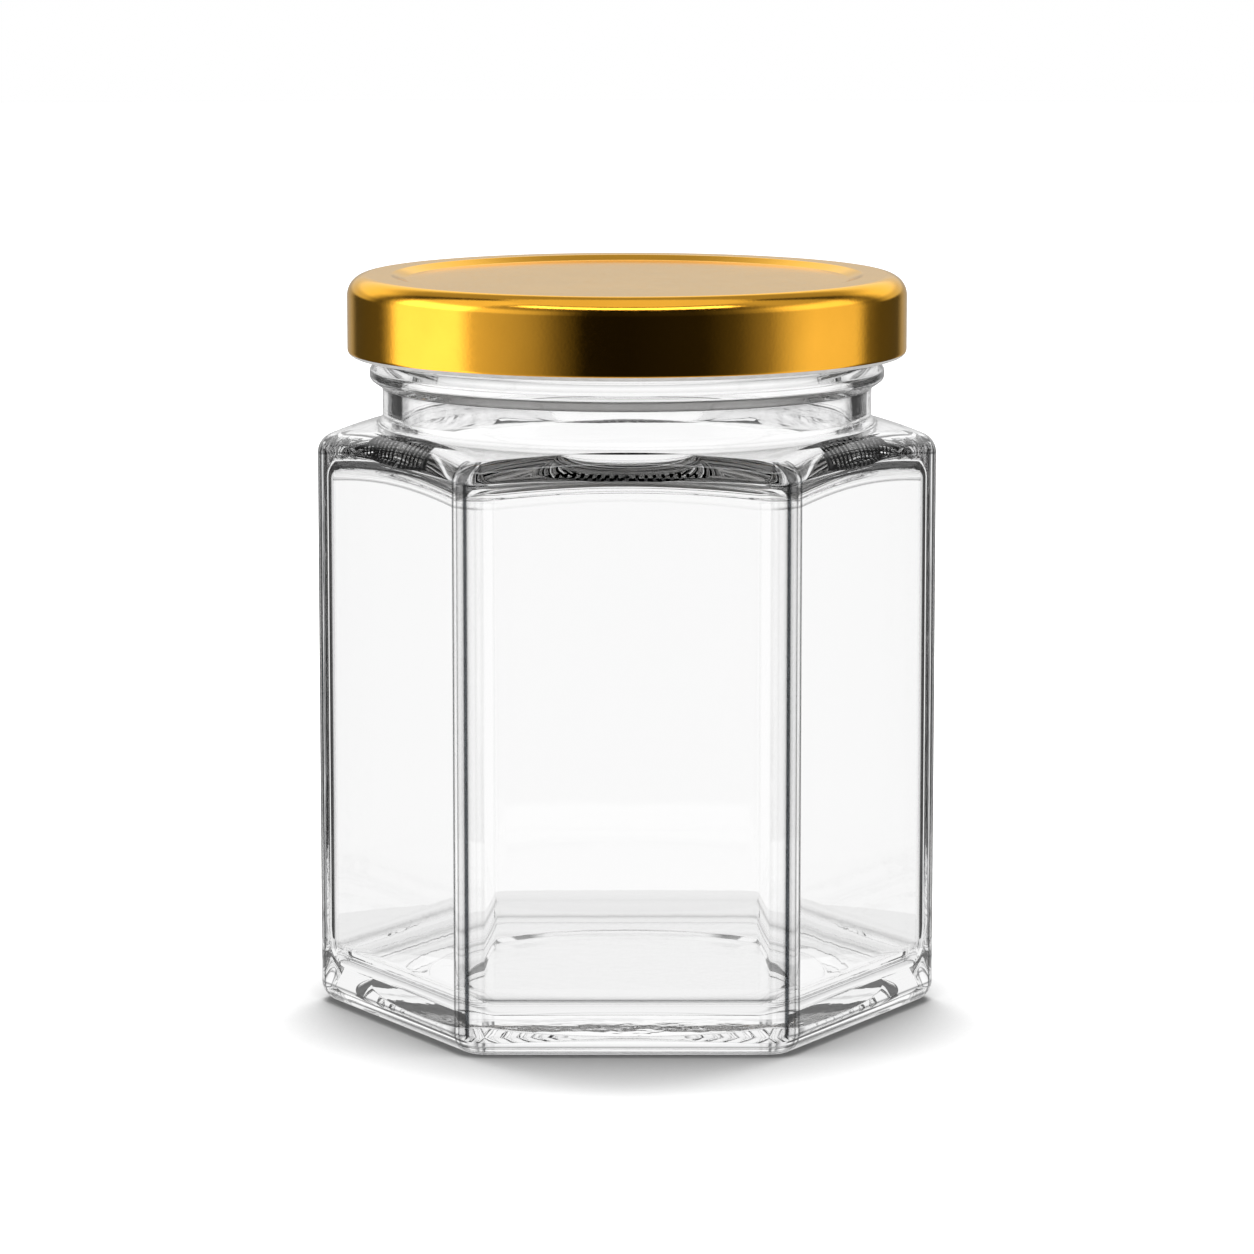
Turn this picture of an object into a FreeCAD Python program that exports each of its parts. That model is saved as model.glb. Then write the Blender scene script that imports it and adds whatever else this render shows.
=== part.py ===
import FreeCAD, Part
import Sketcher
import math
import os

# Hexagonal glass jar with a gold twist-off cap, empty and closed.
#
# Frame: millimetres, +Z up. The origin is the middle of the underside, on the
# surface the jar stands on. Two corners of the hexagon point along +X and -X,
# so a flat face looks along -Y.

doc = FreeCAD.newDocument("HexagonalJar")

# ---------------------------------------------------------------------------
# Sizes. Every size that can be chosen by itself is one cell of the sheet.
# ---------------------------------------------------------------------------

DRIVING = [
    # glass body
    ("AcrossFlats", 64.5, "outside width over two opposite faces"),
    ("GlassHeight", 86.2, "from the table to the sealing rim"),
    ("CornerRound", 4.0, "upright outside corners"),
    ("WallThickness", 2.4, "glass in the six faces"),
    ("InnerCornerRound", 4.2, "upright inside corners"),
    ("HeelRound", 2.5, "outside edge under the faces"),
    ("FloorThickness", 4.2, "glass under the contents"),
    ("FloorRound", 3.6, "inside edge round the floor"),
    # push-up: the round hollow under the base
    ("PushUpRadius", 25.5, "where the hollow meets the standing ring"),
    ("PushUpRise", 1.2, "height of its flat ceiling"),
    ("PushUpSlope", 3.0, "width of its sloping side"),
    ("PushUpRound", 1.2, "edges of its side"),
    # shoulder and neck
    ("ShoulderFall", 14.3, "degrees that the shoulder falls outwards"),
    ("ShoulderRound", 2.4, "edge where the shoulder turns down"),
    ("ShoulderThickness", 2.7, "glass in the shoulder, measured upright"),
    ("InnerShoulderRound", 3.0, "inside edge under the shoulder"),
    ("NeckWaist", 0.7, "plain neck inside the finish"),
    ("NeckHeight", 4.1, "from the shoulder to the transfer bead"),
    ("NeckRound", 1.2, "fillet between shoulder and neck"),
    ("InnerNeckRound", 2.0, "inside edge where the bore opens"),
    # transfer bead: the ring below the cap
    ("BeadReach", 0.8, "bead outside the finish"),
    ("BeadHeight", 3.15, "foot to top of the bead"),
    ("BeadFlank", 1.05, "height of each sloping flank"),
    ("BeadRound", 0.75, "edges between flank and face"),
    ("BeadClearance", 0.6, "bead to the edge of the cap"),
    # twist-off finish
    ("FinishWall", 3.0, "glass behind the threads"),
    ("RimRound", 0.8, "both edges of the sealing rim"),
    ("ThreadCount", 4, "thread ridges, and lugs in the cap"),
    ("ThreadRadius", 31.0, "axis to the crest of a ridge"),
    ("ThreadHeight", 1.4, "how far a ridge stands out"),
    ("ThreadWidth", 1.7, "height of a ridge where it leaves the wall"),
    ("ThreadCrest", 0.7, "height of a ridge at its crest"),
    ("ThreadDepth", 3.8, "rim to the middle of a ridge's high end"),
    ("ThreadDrop", 2.0, "how far a ridge falls along its length"),
    ("ThreadSpan", 62.0, "degrees that a ridge covers"),
    # cap
    ("SheetThickness", 0.25, "tinplate"),
    ("ThreadClearance", 0.4, "ridge crest to the curl"),
    ("CurlRadius", 0.8, "rolled lower edge, outside"),
    ("CrownRound", 2.4, "edge between skirt and top"),
    ("CrestWidth", 2.8, "flat ring round the panel"),
    ("PanelStep", 1.7, "width of the slope down to the panel"),
    ("PanelRecess", 0.55, "panel below the ring"),
    ("PanelRound", 0.9, "edges of that slope"),
    ("LugHeight", 1.5, "cap edge to the top of a lug"),
    ("LugSpan", 18.0, "degrees that a lug covers"),
    ("LugClearance", 0.2, "lug to the ridge above it"),
    ("LugReach", 0.6, "lug to the glass wall behind the threads"),
    # sealing compound in the cap
    ("SealThickness", 0.85, "compound between rim and cap"),
    ("SealReach", 0.8, "how far the compound goes in under the slope of the cap"),
    ("SealEase", 0.05, "compound below the slope of the cap"),
    ("SealRound", 0.25, "lower edges of the compound"),
    # how far joined shapes run into each other before they are fused
    ("Overlap", 0.15, "hidden overlap of fused shapes"),
    ("Margin", 3.0, "how far cutting shapes stand clear"),
]

DERIVED = [
    ("FinishRadius", "=ThreadRadius - ThreadHeight", "outside of the wall behind the threads"),
    ("BoreRadius", "=FinishRadius - FinishWall", "inside of the mouth"),
    ("BeadRadius", "=FinishRadius + BeadReach", "outside of the bead"),
    ("NeckRadius", "=FinishRadius - NeckWaist", "outside of the plain neck"),
    ("CornerRadius", "=AcrossFlats / sqrt(3)", "axis to a sharp outside corner"),
    ("InnerCorner", "=(AcrossFlats - 2 * WallThickness) / sqrt(3)",
     "axis to a sharp inside corner"),
    ("ThreadFoot", "=GlassHeight - ThreadDepth - ThreadDrop - ThreadWidth / 2",
     "underside of a ridge at its low end"),
    ("LugTop", "=ThreadFoot - LugClearance", "top of the lugs"),
    ("CapEdge", "=LugTop - LugHeight", "lowest level of the cap"),
    ("BeadTop", "=CapEdge - BeadClearance", "top of the transfer bead"),
    ("BeadFoot", "=BeadTop - BeadHeight", "foot of the transfer bead"),
    ("ShoulderHeight", "=BeadFoot - NeckHeight", "where shoulder and neck meet"),
    ("ShoulderReach", "=CornerRadius + Margin", "how far out the shoulder is cut"),
    ("ShoulderEdge", "=ShoulderHeight - (ShoulderReach - NeckRadius) * tan(ShoulderFall * 1deg)",
     "shoulder level at that reach"),
    ("CeilingHeight", "=ShoulderHeight - ShoulderThickness",
     "inside level of the shoulder at the bore"),
    ("CeilingEdge", "=CeilingHeight - (ShoulderReach - BoreRadius) * tan(ShoulderFall * 1deg)",
     "inside shoulder level at that reach"),
    ("CapRadius", "=ThreadRadius + ThreadClearance + 2 * CurlRadius", "outside of the cap"),
    ("CapTop", "=GlassHeight + SealThickness + SheetThickness", "highest level of the cap"),
    ("CurlHeight", "=CapEdge + CurlRadius", "level of the curl's middle"),
    ("CrestRadius", "=CapRadius - CrownRound - CrestWidth", "inside of the flat ring"),
    ("PanelRadius", "=CrestRadius - PanelStep", "edge of the panel"),
    ("PanelHeight", "=CapTop - PanelRecess", "top of the panel"),
    ("SealOuter", "=CapRadius - CrownRound", "outside of the compound"),
    ("SealInner", "=CrestRadius - SealReach", "inside of the compound"),
    ("SealTop", "=GlassHeight + SealThickness", "top of the compound, under the flat ring"),
    ("SealInnerTop", "=SealTop - SealReach * PanelRecess / PanelStep - SealEase",
     "top of the compound at its inner edge"),
    ("LugInner", "=FinishRadius + LugReach", "how far in a lug reaches"),
    ("LugOuter", "=CapRadius - 2 * CurlRadius + SheetThickness", "where a lug joins the curl"),
]

sheet = doc.addObject("Spreadsheet::Sheet", "Sizes")
for row, (alias, value, note) in enumerate(DRIVING + DERIVED, start=1):
    sheet.set("A%d" % row, alias)
    sheet.set("B%d" % row, str(value))
    sheet.setAlias("B%d" % row, alias)
    sheet.set("C%d" % row, note)
doc.recompute()

# Two words that a formula may be instead: a radius of zero and a height of zero.
AXIS, TABLE = "axis", "table"


def full(formula):
    """A plain word is one alias of the sheet. Anything else is a formula already."""
    return "Sizes." + formula if formula.isalpha() else formula


def bind(thing, prop, formula):
    """Ties a property to the sheet."""
    thing.setExpression(prop, full(formula))


def value_of(formula):
    """The number that a formula gives now."""
    if formula in (AXIS, TABLE):
        return 0.0
    value = sheet.evalExpression(full(formula))
    return float(getattr(value, "Value", value))


# ---------------------------------------------------------------------------
# Bodies, profiles and features
# ---------------------------------------------------------------------------

# how a sketch numbers its own elements
START, END, CENTRE = 1, 2, 3
ORIGIN, X_AXIS, Y_AXIS = -1, -1, -2


def new_body(name, label):
    body = doc.addObject("PartDesign::Body", name)
    body.Label = label
    return body


def origin_feature(body, role):
    return next(f for f in body.Origin.OriginFeatures if f.Role == role)


def upright_sketch(body, name):
    """An empty sketch in the XZ plane: its own X is the radius and its own Y the height."""
    sketch = body.newObject("Sketcher::SketchObject", name)
    sketch.AttachmentSupport = [(origin_feature(body, "XZ_Plane"), "")]
    sketch.MapMode = "FlatFace"
    return sketch


def profile(body, name, corners):
    """A closed outline of straight lines, with its corners as (radius, height) formulas."""
    sketch = upright_sketch(body, name)
    places = [FreeCAD.Vector(value_of(radius), value_of(height), 0) for radius, height in corners]
    following = places[1:] + places[:1]
    lines = [sketch.addGeometry(Part.LineSegment(*ends), False) for ends in zip(places, following)]
    for line, after in zip(lines, lines[1:] + lines[:1]):
        sketch.addConstraint(Sketcher.Constraint("Coincident", line, END, after, START))
    for line, (radius, height) in zip(lines, corners):
        pin(sketch, line, START, "Corner%d" % line, radius, height)
    return sketch


def pin(sketch, geometry, point, name, radius, height):
    """Fixes a point of a sketch at a radius and a height."""
    for kind, formula, axis in (("X", radius, Y_AXIS), ("Y", height, X_AXIS)):
        if formula in (AXIS, TABLE):
            sketch.addConstraint(Sketcher.Constraint("PointOnObject", geometry, point, axis))
        else:
            dimension(sketch, name + kind, formula, "Distance" + kind, ORIGIN, START, geometry, point)


def dimension(sketch, name, formula, kind, *elements):
    """Adds a named dimension to a sketch and ties it to the sheet."""
    index = sketch.addConstraint(Sketcher.Constraint(kind, *elements, value_of(formula)))
    sketch.renameConstraint(index, name)
    bind(sketch, ".Constraints." + name, formula)


def turned(body, kind, name, sketch, angle=None):
    """A Revolution or Groove of a profile about the jar's axis, a full turn unless told."""
    feature = body.newObject("PartDesign::" + kind, name)
    feature.Profile = sketch
    feature.ReferenceAxis = (sketch, ["V_Axis"])
    feature.Angle = 360
    if angle:
        bind(feature, "Angle", angle)
    doc.recompute()
    return feature


def prism(body, name, corner, height, foot=None):
    """An upright hexagonal prism with corners on the X axis."""
    feature = body.newObject("PartDesign::AdditivePrism", name)
    feature.Polygon = 6
    bind(feature, "Circumradius", corner)
    bind(feature, "Height", height)
    if foot:
        feature.AttachmentSupport = [(origin_feature(body, "XY_Plane"), "")]
        feature.MapMode = "FlatFace"
        bind(feature, "AttachmentOffset.Base.z", foot)
    doc.recompute()
    return feature


def rounded(body, name, base, chosen, radius):
    """Rounds the edges of a feature that a test picks."""
    edges = enumerate(base.Shape.Edges, start=1)
    names = ["Edge%d" % number for number, edge in edges if chosen(edge)]
    if not names:
        raise RuntimeError("no edge to round for " + name)
    feature = body.newObject("PartDesign::Fillet", name)
    feature.Base = (base, names)
    bind(feature, "Radius", radius)
    doc.recompute()
    return feature


def round_the_axis(body, name, feature, count):
    """Repeats a feature evenly about the jar's axis."""
    pattern = body.newObject("PartDesign::PolarPattern", name)
    pattern.Originals = [feature]
    pattern.Axis = (origin_feature(body, "Z_Axis"), [""])
    pattern.Angle = 360
    bind(pattern, "Occurrences", count)
    body.Tip = pattern
    doc.recompute()
    return pattern


# ---------------------------------------------------------------------------
# Tests that pick edges by where they lie
# ---------------------------------------------------------------------------

CLOSE = 1e-4  # lengths nearer than this count as the same


def upright(edge):
    """A straight edge along Z."""
    direction = edge.tangentAt(edge.FirstParameter)
    return edge.Curve.TypeId == "Part::GeomLine" and abs(abs(direction.z) - 1) < CLOSE


def level(height):
    """Edges that lie flat at one height."""
    wanted = value_of(height)

    def test(edge):
        box = edge.BoundBox
        return abs(box.ZMin - wanted) < CLOSE and abs(box.ZMax - wanted) < CLOSE

    return test


def ring(radius, height):
    """Circles about the axis, of one radius and at one height."""
    wanted_radius, wanted_height = value_of(radius), value_of(height)

    def test(edge):
        circle = edge.Curve
        return (
            circle.TypeId == "Part::GeomCircle"
            and math.hypot(circle.Center.x, circle.Center.y) < CLOSE
            and abs(circle.Radius - wanted_radius) < CLOSE
            and abs(circle.Center.z - wanted_height) < CLOSE
        )

    return test


def hexagon_rim(radius, lowest, highest):
    """The wavy edge where a cone meets the six sides: its ends are outside a radius and between two
    levels."""
    inside, low, high = value_of(radius), value_of(lowest), value_of(highest)

    def test(edge):
        ends = [edge.valueAt(edge.FirstParameter), edge.valueAt(edge.LastParameter)]
        return not upright(edge) and all(
            math.hypot(end.x, end.y) > inside + CLOSE and low < end.z < high for end in ends
        )

    return test


def either(*tests):
    return lambda edge: any(test(edge) for test in tests)


# ---------------------------------------------------------------------------
# The space inside the glass, cut out of it later
# ---------------------------------------------------------------------------


def inside_space():
    body = new_body("Inside", "inside_space")
    block = prism(body, "InsidePrism", "InnerCorner", "Sizes.CeilingHeight - Sizes.FloorThickness",
                  foot="FloorThickness")
    corners = rounded(body, "InsideCorners", block, upright, "InnerCornerRound")
    ceiling = turned(body, "Groove", "Ceiling", profile(body, "CeilingProfile", [
        ("BoreRadius", "CeilingHeight"),
        ("ShoulderReach", "Sizes.CeilingHeight + Sizes.Margin"),
        ("ShoulderReach", "CeilingEdge"),
    ]))
    floor = rounded(body, "FloorEdge", ceiling, level("FloorThickness"), "FloorRound")
    shoulder = rounded(body, "CeilingRim", floor,
                       hexagon_rim("BoreRadius", "CeilingEdge", "CeilingHeight"),
                       "InnerShoulderRound")
    bore = turned(body, "Revolution", "Bore", profile(body, "BoreProfile", [
        (AXIS, "Sizes.CeilingHeight - Sizes.Overlap"),
        ("BoreRadius", "Sizes.CeilingHeight - Sizes.Overlap"),
        ("BoreRadius", "Sizes.GlassHeight + Sizes.Margin"),
        (AXIS, "Sizes.GlassHeight + Sizes.Margin"),
    ]))
    rounded(body, "BoreFoot", bore, ring("BoreRadius", "CeilingHeight"), "InnerNeckRound")
    return body


# ---------------------------------------------------------------------------
# Glass
# ---------------------------------------------------------------------------


def hexagonal_body(body):
    """The six-sided lower part, up to the foot of the neck."""
    block = prism(body, "BodyPrism", "CornerRadius", "ShoulderHeight")
    corners = rounded(body, "BodyCorners", block, upright, "CornerRound")
    shoulder = turned(body, "Groove", "Shoulder", profile(body, "ShoulderProfile", [
        ("NeckRadius", "ShoulderHeight"),
        ("ShoulderReach", "Sizes.ShoulderHeight + Sizes.Margin"),
        ("ShoulderReach", "ShoulderEdge"),
    ]))
    heel = rounded(body, "Heel", shoulder, level(TABLE), "HeelRound")
    rounded(body, "ShoulderRim", heel,
            hexagon_rim("NeckRadius", "ShoulderEdge", "ShoulderHeight"), "ShoulderRound")


def push_up(body):
    """The shallow round hollow under the base, which leaves a standing ring."""
    hollow = turned(body, "Groove", "PushUp", profile(body, "PushUpProfile", [
        (AXIS, "-Sizes.Margin"),
        ("PushUpRadius", "-Sizes.Margin"),
        ("PushUpRadius", TABLE),
        ("Sizes.PushUpRadius - Sizes.PushUpSlope", "PushUpRise"),
        (AXIS, "PushUpRise"),
    ]))
    rounded(body, "PushUpEdges", hollow, either(
        ring("PushUpRadius", TABLE),
        ring("Sizes.PushUpRadius - Sizes.PushUpSlope", "PushUpRise"),
    ), "PushUpRound")


def neck_and_finish(body):
    """The plain neck, the transfer bead and the wall that carries the threads."""
    turning = turned(body, "Revolution", "Neck", profile(body, "NeckProfile", [
        (AXIS, "Sizes.ShoulderHeight - Sizes.Overlap"),
        ("NeckRadius", "Sizes.ShoulderHeight - Sizes.Overlap"),
        ("NeckRadius", "BeadFoot"),
        ("BeadRadius", "Sizes.BeadFoot + Sizes.BeadFlank"),
        ("BeadRadius", "Sizes.BeadTop - Sizes.BeadFlank"),
        ("FinishRadius", "BeadTop"),
        ("FinishRadius", "GlassHeight"),
        (AXIS, "GlassHeight"),
    ]))
    foot = rounded(body, "NeckFoot", turning, ring("NeckRadius", "ShoulderHeight"), "NeckRound")
    rounded(body, "BeadEdges", foot, either(
        ring("BeadRadius", "Sizes.BeadFoot + Sizes.BeadFlank"),
        ring("BeadRadius", "Sizes.BeadTop - Sizes.BeadFlank"),
    ), "BeadRound")


def hollow_out(body, inside):
    """Cuts the inside space out of the glass and rounds both edges of the rim."""
    hollow = body.newObject("PartDesign::Boolean", "HollowOut")
    hollow.Type = "Cut"
    hollow.setObjects([inside])
    doc.recompute()
    rounded(body, "Rim", hollow, either(
        ring("BoreRadius", "GlassHeight"),
        ring("FinishRadius", "GlassHeight"),
    ), "RimRound")


def threads(body):
    """Short ridges that rise to the left, one for each lug of the cap."""
    middle = "Sizes.ThreadFoot + Sizes.ThreadWidth / 2"
    section = profile(body, "ThreadProfile", [
        ("Sizes.FinishRadius - Sizes.Overlap", "ThreadFoot"),
        ("ThreadRadius", middle + " - Sizes.ThreadCrest / 2"),
        ("ThreadRadius", middle + " + Sizes.ThreadCrest / 2"),
        ("Sizes.FinishRadius - Sizes.Overlap", "Sizes.ThreadFoot + Sizes.ThreadWidth"),
    ])
    ridge = body.newObject("PartDesign::AdditiveHelix", "ThreadRidge")
    ridge.Profile = section
    ridge.ReferenceAxis = (section, ["V_Axis"])
    ridge.Mode = "pitch-turns-angle"
    bind(ridge, "Turns", "Sizes.ThreadSpan / 360")
    bind(ridge, "Pitch", "Sizes.ThreadDrop * 360 / Sizes.ThreadSpan")
    doc.recompute()
    round_the_axis(body, "ThreadRidges", ridge, "ThreadCount")


def glass_jar():
    inside = inside_space()
    body = new_body("GlassJar", "glass_jar")
    hexagonal_body(body)
    push_up(body)
    neck_and_finish(body)
    hollow_out(body, inside)
    threads(body)
    return body


# ---------------------------------------------------------------------------
# Cap
# ---------------------------------------------------------------------------


def cap_sheet(body):
    """Top, crown and skirt in one sheet: a solid turning, rounded and then hollowed."""
    turning = turned(body, "Revolution", "CapForm", profile(body, "CapProfile", [
        (AXIS, "CurlHeight"),
        ("CapRadius", "CurlHeight"),
        ("CapRadius", "CapTop"),
        ("CrestRadius", "CapTop"),
        ("PanelRadius", "PanelHeight"),
        (AXIS, "PanelHeight"),
    ]))
    crown = rounded(body, "Crown", turning, ring("CapRadius", "CapTop"), "CrownRound")
    step = rounded(body, "PanelEdges", crown, either(
        ring("CrestRadius", "CapTop"),
        ring("PanelRadius", "PanelHeight"),
    ), "PanelRound")
    underside = value_of("CurlHeight")
    open_faces = [
        "Face%d" % number for number, face in enumerate(step.Shape.Faces, start=1)
        if abs(face.BoundBox.ZMax - underside) < CLOSE
    ]
    shell = body.newObject("PartDesign::Thickness", "CapSheet")
    shell.Base = (step, open_faces)
    shell.Reversed = True
    bind(shell, "Value", "SheetThickness")
    doc.recompute()


def curl(body):
    """The cut edge of the sheet, rolled inwards by about two thirds of a turn."""
    free_end, joined_end = math.radians(120), math.radians(360)
    middle = FreeCAD.Vector(value_of("CapRadius") - value_of("CurlRadius"), value_of("CurlHeight"), 0)
    outer_radius = value_of("CurlRadius")
    inner_radius = outer_radius - value_of("SheetThickness")
    sketch = upright_sketch(body, "CurlProfile")
    outer, inner = [
        sketch.addGeometry(Part.ArcOfCircle(
            Part.Circle(middle, FreeCAD.Vector(0, 0, 1), radius), free_end, joined_end
        ), False)
        for radius in (outer_radius, inner_radius)
    ]
    across = []
    for angle in (free_end, joined_end):
        outward = FreeCAD.Vector(math.cos(angle), math.sin(angle), 0)
        across.append(sketch.addGeometry(Part.LineSegment(
            middle + outward * inner_radius, middle + outward * outer_radius
        ), False))
    for line, point in zip(across, (START, END)):
        sketch.addConstraint(Sketcher.Constraint("Coincident", inner, point, line, START))
        sketch.addConstraint(Sketcher.Constraint("Coincident", outer, point, line, END))
        sketch.addConstraint(Sketcher.Constraint("PointOnObject", outer, CENTRE, line))
    sketch.addConstraint(Sketcher.Constraint("Coincident", outer, CENTRE, inner, CENTRE))
    sketch.addConstraint(Sketcher.Constraint("Horizontal", across[1]))
    sketch.addConstraint(
        Sketcher.Constraint("Angle", across[1], START, across[0], START, free_end)
    )
    pin(sketch, outer, CENTRE, "Middle", "Sizes.CapRadius - Sizes.CurlRadius", "CurlHeight")
    dimension(sketch, "OuterRadius", "CurlRadius", "Radius", outer)
    dimension(sketch, "InnerRadius", "Sizes.CurlRadius - Sizes.SheetThickness", "Radius", inner)
    turned(body, "Revolution", "Curl", sketch)


def lugs(body):
    """Flattened stretches of the curl that reach in under the thread ridges."""
    nose = "Sizes.LugInner + Sizes.CurlRadius / 2"
    lug = turned(body, "Revolution", "Lug", profile(body, "LugProfile", [
        ("LugInner", "Sizes.CapEdge + Sizes.LugHeight / 2"),
        (nose, "CapEdge"),
        ("LugOuter", "CapEdge"),
        ("LugOuter", "LugTop"),
        (nose, "LugTop"),
    ]), angle="LugSpan")
    round_the_axis(body, "Lugs", lug, "ThreadCount")


def lid():
    body = new_body("Lid", "lid")
    cap_sheet(body)
    curl(body)
    lugs(body)
    return body


# ---------------------------------------------------------------------------
# Sealing compound
# ---------------------------------------------------------------------------


def sealing_ring():
    """The soft ring flowed into the cap. It lies on the rim of the glass."""
    body = new_body("SealingRing", "sealing_ring")
    band = turned(body, "Revolution", "Band", profile(body, "BandProfile", [
        ("SealInner", "GlassHeight"),
        ("SealOuter", "GlassHeight"),
        ("SealOuter", "SealTop"),
        ("Sizes.CrestRadius + Sizes.PanelRound", "SealTop"),
        ("SealInner", "SealInnerTop"),
    ]))
    rounded(body, "BandEdges", band, either(
        ring("SealInner", "GlassHeight"),
        ring("SealOuter", "GlassHeight"),
    ), "SealRound")
    return body


# ---------------------------------------------------------------------------
# Build, check and write
# ---------------------------------------------------------------------------

pieces = [glass_jar(), lid(), sealing_ring()]
doc.recompute()

for item in doc.Objects:
    if "Invalid" in item.State or "Error" in item.State:
        raise RuntimeError("%s did not build: %s" % (item.Label, item.State))

os.makedirs("parts", exist_ok=True)
for piece in pieces:
    shape = piece.Shape
    if shape.isNull() or not shape.isValid() or len(shape.Solids) != 1:
        raise RuntimeError("%s is not one valid solid" % piece.Label)
    shape.exportStep("parts/%s.step" % piece.Label)
    print("%-13s %9.1f mm3" % (piece.Label, shape.Volume))
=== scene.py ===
import math

import bpy
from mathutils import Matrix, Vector


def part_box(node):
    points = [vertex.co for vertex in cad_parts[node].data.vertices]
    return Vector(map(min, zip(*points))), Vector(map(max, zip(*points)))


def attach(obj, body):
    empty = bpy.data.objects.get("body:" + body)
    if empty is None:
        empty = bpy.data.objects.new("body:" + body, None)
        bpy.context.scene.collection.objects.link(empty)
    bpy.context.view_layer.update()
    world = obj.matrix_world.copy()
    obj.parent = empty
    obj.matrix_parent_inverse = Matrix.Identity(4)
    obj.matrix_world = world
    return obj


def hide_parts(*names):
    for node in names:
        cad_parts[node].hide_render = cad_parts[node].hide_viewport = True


# Hexagonal glass jar with a gold twist-off cap.
# Frame: metres, +Z up, origin in the middle of the underside, corners of the
# hexagon on +X and -X.

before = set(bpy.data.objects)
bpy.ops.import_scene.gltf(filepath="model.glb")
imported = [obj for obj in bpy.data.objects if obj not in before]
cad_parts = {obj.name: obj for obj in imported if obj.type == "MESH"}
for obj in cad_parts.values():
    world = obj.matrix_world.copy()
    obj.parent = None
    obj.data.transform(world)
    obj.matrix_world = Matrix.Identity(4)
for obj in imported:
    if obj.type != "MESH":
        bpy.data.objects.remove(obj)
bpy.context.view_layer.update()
glass_low, glass_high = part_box("glass_jar")
lid_low, lid_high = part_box("lid")

MM = 0.001

# ---------------------------------------------------------------------------
# Camera: millimetres for the lens, metres for its place, degrees below level
# ---------------------------------------------------------------------------

SENSOR = 36.0
LENS = 161.0
FARTHEST_SEEN = 10.0
CAMERA_AWAY = 0.660
CAMERA_HEIGHT = 0.143
CAMERA_TILT = 8.43


def make_camera():
    data = bpy.data.cameras.new("camera")
    data.sensor_width = SENSOR
    data.lens = LENS
    data.clip_end = FARTHEST_SEEN
    camera = bpy.data.objects.new("camera", data)
    camera.location = (0.0, -CAMERA_AWAY, CAMERA_HEIGHT)
    camera.rotation_euler = (math.radians(90 - CAMERA_TILT), 0.0, 0.0)
    bpy.context.scene.collection.objects.link(camera)
    bpy.context.scene.camera = camera


# ---------------------------------------------------------------------------
# Sizes of the jar, in millimetres, taken from the frame where it gives them
# ---------------------------------------------------------------------------

APOTHEM = glass_high.y / MM
FACES = 6
GLASS_TOP = glass_high.z / MM
CAP_RADIUS = lid_high.x / MM
CAP_TOP = lid_high.z / MM
CAP_EDGE = lid_low.z / MM

CORNER_ROUND = 4.0
WALL = 2.4
INNER_CORNER_ROUND = 4.2
HEEL_ROUND = 2.5
FLOOR = 4.2
FLOOR_ROUND = 3.6

PUSH_UP_RADIUS = 25.5
PUSH_UP_RISE = 1.2
PUSH_UP_SLOPE = 3.0
PUSH_UP_ROUND = 1.2

NECK_RADIUS = 28.9
NECK_ROUND = 1.2
BORE_RADIUS = 26.6
SHOULDER = 70.0
SHOULDER_FALL = math.radians(14.3)
SHOULDER_ROUND = 2.4
SHOULDER_WALL = 2.7
CEILING = SHOULDER - SHOULDER_WALL
INNER_SHOULDER_ROUND = 3.0
INNER_NECK_ROUND = 2.0
NECK_SKIRT = 2.2
BORE_SKIRT = 2.6

BEAD_RADIUS = 30.4
BEAD_FOOT = 74.1
BEAD_TOP = 77.25
BEAD_FLANK = 1.05
BEAD_ROUND = 0.75
UNDER_BEAD_ROUND = 0.25
OVER_BEAD_ROUND = 0.3
FINISH_RADIUS = 29.6
RIM_ROUND = 0.8

RIDGES = 4
RIDGE_FOOT = 79.55
RIDGE_WIDTH = 1.7
RIDGE_CREST = 0.7
RIDGE_RISE = 2.0
RIDGE_SPAN = math.radians(62)
RIDGE_HEIGHT = 1.4
RIDGE_FADE = 0.04

SHEET = 0.25
CURL = 0.8
CURL_TURN = math.radians(-240)
CROWN_ROUND = 2.4
CREST_WIDTH = 2.8
PANEL_STEP = 1.7
PANEL_RECESS = 0.55
PANEL_ROUND = 0.9
LUG_SPAN = math.radians(18)
LUG_HEIGHT = 1.5
LUG_REACH = 0.6
LUG_ENDS = 4

# ---------------------------------------------------------------------------
# How finely the meshes are divided: angles, longest runs in millimetres, counts
# ---------------------------------------------------------------------------

ARC_STEP = math.radians(6)
PUSH_UP_STEP = math.radians(3)
PUSH_UP_RUN = 2.5
NECK_RUN = 0.6
RIM_RUN = 2.0
HEEL_ROWS = 12
SHOULDER_ROWS = 14
FLOOR_ROWS = 16
FACE_LEVELS = 6
CONE_STEPS = 8
FIRST_CONE_STEP = 0.03
THREAD_STEP = 0.2
SHEET_STEP = math.radians(4)
CURL_PARTS = 30
CAP_PARTS = 288
CAP_RUN = 1.5
FLAT_PARTS = 32
CORNER_PARTS = 20
LINE_WIDTH = 0.22

# ---------------------------------------------------------------------------
# Outlines: lists of (radius, height, outward radius, outward height)
# ---------------------------------------------------------------------------


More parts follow.
